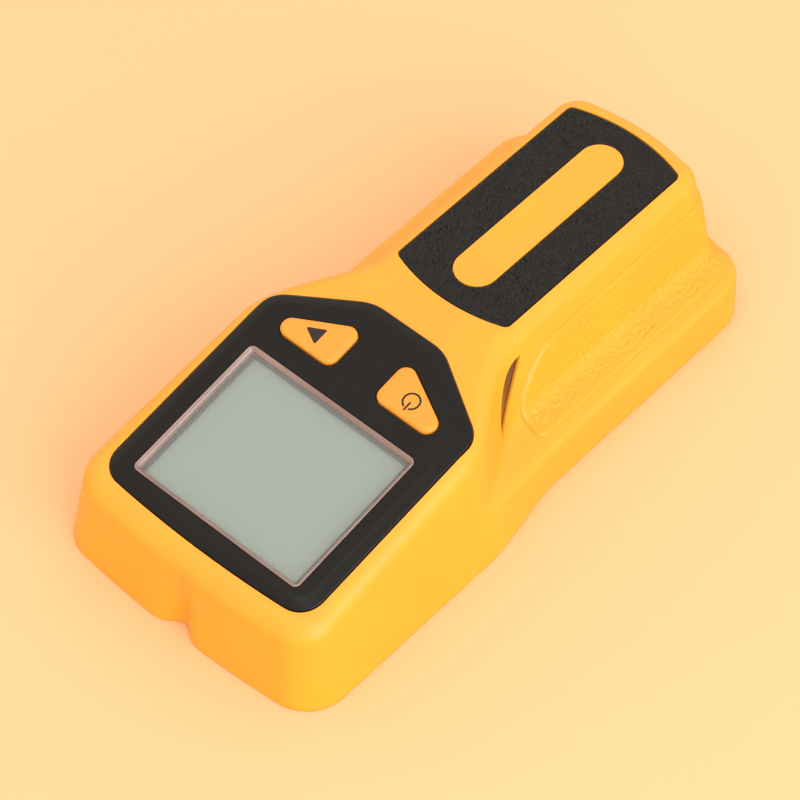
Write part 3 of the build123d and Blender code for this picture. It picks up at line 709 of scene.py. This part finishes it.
# ---------------------------------------------------------------- pieces
def top_casing():
    """Hollow casing with the seats and holes for the pieces that lie in it."""
    shell = skin("casing")
    boolean(shell, skin("hollow", inset=WALL, drop=ROOF, shoulder=1.6, floor=-1.0, lip=0))
    seat = outline_points(np.zeros(HALF_COUNT), COVER_INSET)
    ring = [tuple(p) for p in seat] + [tuple(p) for p in seat[1:-1][::-1] * (-1, 1)]
    boolean(shell, prism("cover_seat", ring, -2, COVER_SEAT))
    boolean(shell, prism("bezel_seat", bezel_outline(BEZEL_PLAY), BEZEL_BOTTOM - 0.05, 6, face_point))
    boolean(shell, prism("display_hole", window_outline(DISPLAY_HOLE, 1.0), -9, 0, face_point))
    for sign in (-1, 1):
        boolean(shell, prism("button_hole", button_outline(sign, BUTTON_WELL), -9, 0, face_point))
        boolean(shell, side_prism("lamp_slot", lamp_outline(LAMP_PLAY), sign))
    groove = prism("inlay_seat", inlay_outline(INLAY_PLAY), TOP_Z - 1.0, TOP_Z + 3)
    boolean(groove, prism("island", pill_outline(), TOP_Z - 3, TOP_Z + 5))
    boolean(shell, groove)
    tidy_mesh(shell, 30)
    return piece(shell, "yellow_plastic", "casing", "top_shell")


def bezel():
    """Black plate on the display face, with a rebate for the lens and a hole for each button."""
    profile = [(0, BEZEL_BOTTOM), (0, -1.05), (0.05, -0.88), (0.22, -0.74), (0.5, -0.63), (1.9, -0.17),
               (2.25, -0.07), (2.65, -0.01), (3.2, 0.0)]
    obj = profile_solid("bezel", bezel_outline(), profile)
    boolean(obj, prism("rebate", window_outline(grow=0.1), -1.5, 2, face_point))
    boolean(obj, prism("view_hole", window_outline(VIEW, 0.8, VIEW_FORWARD), -4, 2, face_point))
    for sign in (-1, 1):
        boolean(obj, prism("button_hole", button_outline(sign, BUTTON_PLAY), -4, 2, face_point))
    round_edges(obj, 0.14)
    return piece(obj, "black_bezel", "casing", "display_bezel")


def lens_rim():
    """Raised, tinted border of the display lens."""
    profile = [(0.06, LENS_BOTTOM), (0.06, 0.02), (0.12, 0.09), (0.24, 0.11), (0.36, 0.05), (0.45, -0.1),
               (0.62, -0.16), (0.86, -0.5), (1.0, -0.6), (1.02, LENS_BOTTOM)]
    obj = ring_solid("lens_rim", window_outline(), profile)
    return piece(obj, "lens_edge", "casing")


def lens_plate():
    """Clear plate inside the lens rim."""
    profile = [(1.06, LENS_BOTTOM), (1.06, -0.72), (1.12, -0.66), (1.3, -0.66)]
    obj = profile_solid("lens_plate", window_outline(), profile)
    return piece(obj, "clear_lens", "casing", "display_lens")


def key_cap(sign, body, node):
    """Domed button with the flange and stem under it."""
    profile = [(0, -2.55), (0, 0.12), (0.04, 0.32), (0.16, 0.5), (0.34, 0.63), (0.6, 0.72), (1.0, 0.765),
               (1.6, 0.78)]
    obj = profile_solid(f"{node}_cap", button_outline(sign), profile)
    boolean(obj, prism("flange", button_outline(sign, BUTTON_FLANGE), -3.45, -2.5, face_point), "UNION")
    stem = [(sign * STEM_X + STEM_R * math.cos(a), STEM_Y + STEM_R * math.sin(a))
            for a in np.linspace(0, 2 * math.pi, 33)[:-1]]
    boolean(obj, prism("stem", stem, -4.9, -3.2, face_point), "UNION")
    return piece(obj, "button_orange", body, node)


def leather_height(x, y):
    """Relief of the handle inlay in mm: small raised cells with creases between them."""
    drift = noise.noise(Vector((x * 0.35, y * 0.35, 3.0)))
    spot = Vector((x * 0.95 + 0.6 * drift, y * 0.78 - 0.6 * drift, 0.4))
    near, far = noise.voronoi(spot)[0][:2]
    crease = smooth_step((far - near) / 0.45)
    return LEATHER_RELIEF * (float(crease) - 1) + 0.06 * noise.noise(Vector((x * 1.6, y * 1.6, 0)))


def pill_distance(x, y):
    """Distance outside the pill-shaped island, in mm."""
    middle = (PILL_FRONT + PILL_REAR) / 2
    half_length = (PILL_FRONT - PILL_REAR) / 2
    beyond = max(0.0, abs(y - middle) - half_length + PILL_HALF)
    return math.hypot(x, beyond) - PILL_HALF


def handle_inlay():
    """Grained slab with a slot for the pill-shaped island."""
    columns = 100
    rows = 200
    top = TOP_Z + INLAY_PROUD
    bottom = TOP_Z - INLAY_DEPTH
    verts = []
    for j in range(rows + 1):
        for i in range(columns + 1):
            x = INLAY_HALF * (2 * i / columns - 1)
            rear = INLAY_REAR + INLAY_BULGE * x * x
            front = INLAY_FRONT - INLAY_BULGE * x * x
            y = rear + (front - rear) * j / rows
            edge = min(INLAY_HALF - abs(x), y - rear, front - y, max(0.0, pill_distance(x, y) - 0.1))
            fade = float(smooth_step(edge / INLAY_BORDER))
            z = top - INLAY_BORDER_DROP * (1 - fade) ** 2 + fade * leather_height(x, y)
            verts.append((x, y, z))
    wide = columns + 1
    faces = []
    for j in range(rows):
        for i in range(columns):
            a = j * wide + i
            faces.append((a, a + 1, a + wide + 1, a + wide))
    border = grid_border(rows + 1, wide)
    base = len(verts)
    verts += [(verts[v][0], verts[v][1], bottom) for v in border]
    count = len(border)
    for i in range(count):
        j = (i + 1) % count
        faces.append((border[j], border[i], base + i, base + j))
    faces.append(tuple(range(base, base + count))[::-1])
    obj = make_object("inlay", verts, faces, 60)
    boolean(obj, prism("corners", inlay_outline(-0.01), TOP_Z - 3, TOP_Z + 3), "INTERSECT")
    boolean(obj, prism("pill_slot", pill_outline(0.2), TOP_Z - 3, TOP_Z + 3))
    tidy_mesh(obj, 60)
    return piece(obj, "black_grip", "casing", "grip_inlay")


def path_length(points, axis):
    """Distance travelled along one axis of a grid of points, from its first point."""
    step = np.linalg.norm(np.diff(points, axis=axis), axis=2)
    start = np.zeros_like(step.take([0], axis=axis))
    return np.concatenate([start, np.cumsum(step, axis=axis)], axis=axis)


def grip_grid():
    """Points of the casing's skin under the side grip, in level rows from its rear to its front."""
    heights = np.concatenate([np.linspace(GRIP_LOW, GRIP_FLARE_TOP, 44),
                              np.linspace(GRIP_FLARE_TOP, GRIP_HIGH, 54)[1:]])
    level = TABLE[int(10 / TABLE_STEP)]
    # the part of the outline from the handle's rear to the neck
    use = np.where((level[:, 1] < -2) & (level[:, 0] > 11.5))[0]
    fine = np.linspace(use[0], use[-1], 230)
    index = np.arange(HALF_COUNT)
    grid = []
    for z in heights:
        ring = outline_points(np.full(HALF_COUNT, z), 0)
        grid.append(np.column_stack([np.interp(fine, index, ring[:, 0]), np.interp(fine, index, ring[:, 1]),
                                     np.full(len(fine), z)]))
    return np.array(grid)


def outward_normals(grid):
    """Normals of a grid of points, on the side that faces away from the middle of the object."""
    normals = unit_rows(np.cross(np.gradient(grid, axis=1), np.gradient(grid, axis=0)))
    return -normals if normals[:, :, 0].mean() < 0 else normals


def grip_edge_distance(grid, up, from_rear):
    """Distance inside the grip's outline, in mm."""
    y = grid[:, :, 1]
    z = grid[:, :, 2]
    share = np.clip((z - GRIP_LOW) / (GRIP_HIGH - GRIP_LOW), 0, 1)
    slope = GRIP_FRONT_LEAN * GRIP_FRONT_CURVE * share ** (GRIP_FRONT_CURVE - 1) / (GRIP_HIGH - GRIP_LOW)
    ahead = (GRIP_FRONT_LOW - GRIP_FRONT_LEAN * share ** GRIP_FRONT_CURVE - y) / np.sqrt(1 + slope ** 2)
    sides = np.array([ahead, up, up[-1] - up])
    inner = np.minimum(sides, GRIP_CORNER) - GRIP_CORNER
    rounded = GRIP_CORNER - np.sqrt((inner ** 2).sum(axis=0))
    return np.minimum(rounded + np.maximum(sides.min(axis=0) - GRIP_CORNER, 0), from_rear)


def grip_height(grid):
    """Height of the grip's face over the casing's skin, in mm: a rounded border and grain inside it."""
    up = path_length(grid, 0)
    from_rear = path_length(grid, 1)
    edge = grip_edge_distance(grid, up, from_rear)
    rise = np.sqrt(np.clip(1 - (1 - np.clip(edge / GRIP_EDGE, 0, 1)) ** 2, 0, 1))
    lift = -GRIP_SUNK + (GRIP_PROUD + GRIP_SUNK) * rise
    grain = np.zeros_like(lift)
    for a, b in np.argwhere(edge > 0.5):
        length = from_rear[a, b]
        spot = Vector((up[a, b] * 1.5 + length * 0.5, length * 1.1, 5.0))
        grain[a, b] = GRIP_GRAIN * noise.noise(spot) + GRIP_FINE_GRAIN * noise.noise(spot * 1.9)
    return lift + grain * smooth_step((edge - 0.7) / 1.0)


def side_grip(sign, node):
    """Raised grained pad on the side of the handle, from its rear corner to the neck."""
    grid = grip_grid()
    normals = outward_normals(grid)
    outer = grid + normals * grip_height(grid)[:, :, None]
    inner = grid - normals * GRIP_BACK
    rows, cols = grid.shape[:2]
    half = rows * cols
    verts = [(sign * x, y, z) for layer in (outer, inner) for x, y, z in layer.reshape(-1, 3)]
    faces = []
    for a in range(rows - 1):
        for b in range(cols - 1):
            v = a * cols + b
            faces.append((v, v + 1, v + cols + 1, v + cols))
            faces.append((half + v, half + v + cols, half + v + cols + 1, half + v + 1))
    border = grid_border(rows, cols)
    for i, v in enumerate(border):
        w = border[(i + 1) % len(border)]
        faces.append((v, half + v, half + w, w))
    obj = make_object(f"{node}_pad", verts, faces, 60)
    boolean(obj, side_prism("lamp_clear", lamp_outline(0.3), sign))
    tidy_mesh(obj, 60)
    return piece(obj, "grip_yellow", "casing", node)


top_casing()
bezel()
lens_rim()
lens_plate()
key_cap(-1, "power_key", "power_button")
key_cap(1, "mode_key", "mode_button")
handle_inlay()
side_grip(-1, "side_grip_left")
side_grip(1, "side_grip_right")

SLOTS = {part["node"]: part["material_slot"] for part in frame["record"]["subparts"]}
for name, obj in frame["nodes"].items():
    dress(obj, SLOTS[name])


# ---------------------------------------------------------------- stage
def floor():
    half = 3.0
    corners = ((-1, -1), (1, -1), (1, 1), (-1, 1))
    obj = make_object("floor", [(x * half / MM, y * half / MM, -0.02) for x, y in corners], [(0, 1, 2, 3)])
    mat = material("paper", (0.88, 0.55, 0.275), 0.85)
    tint_by_noise(mat, noise_node(mat, 3, 3), (0.88, 0.545, 0.27), (0.89, 0.56, 0.28))
    obj.data.materials.append(mat)


def area_light(name, place, aim, size, power, colour=(1, 1, 1)):
    data = bpy.data.lights.new(name, "AREA")
    data.shape = "DISK"
    data.size = size
    data.energy = power
    data.color = colour
    obj = bpy.data.objects.new(name, data)
    bpy.context.collection.objects.link(obj)
    obj.location = place
    obj.rotation_euler = (Vector(aim) - Vector(place)).to_track_quat("-Z", "Y").to_euler()


def camera():
    data = bpy.data.cameras.new("camera")
    data.lens = 165.8
    data.sensor_width = 36
    data.clip_start = 0.01
    data.clip_end = 20
    obj = bpy.data.objects.new("camera", data)
    bpy.context.collection.objects.link(obj)
    place = Vector((-0.31698, 0.35877, 0.61130))
    aim = Vector((0.00507, 0.00059, 0.00234))
    obj.location = place
    obj.rotation_euler = (aim - place).to_track_quat("-Z", "Y").to_euler()
    bpy.context.scene.camera = obj


def world():
    bpy.context.scene.view_settings.view_transform = "Standard"
    scene_world = bpy.data.worlds.new("studio")
    scene_world.use_nodes = True
    back = scene_world.node_tree.nodes["Background"]
    back.inputs["Color"].default_value = (1.0, 0.93, 0.84, 1)
    back.inputs["Strength"].default_value = 1.03
    bpy.context.scene.world = scene_world


floor()
area_light("key", (-0.95, 0.22, 0.55), (0, 0, 0.01), 1.2, 9.2, (1, 0.98, 0.95))
area_light("top", (0.1, 0.3, 1.5), (0, 0, 0), 0.9, 2.5)
camera()
world()
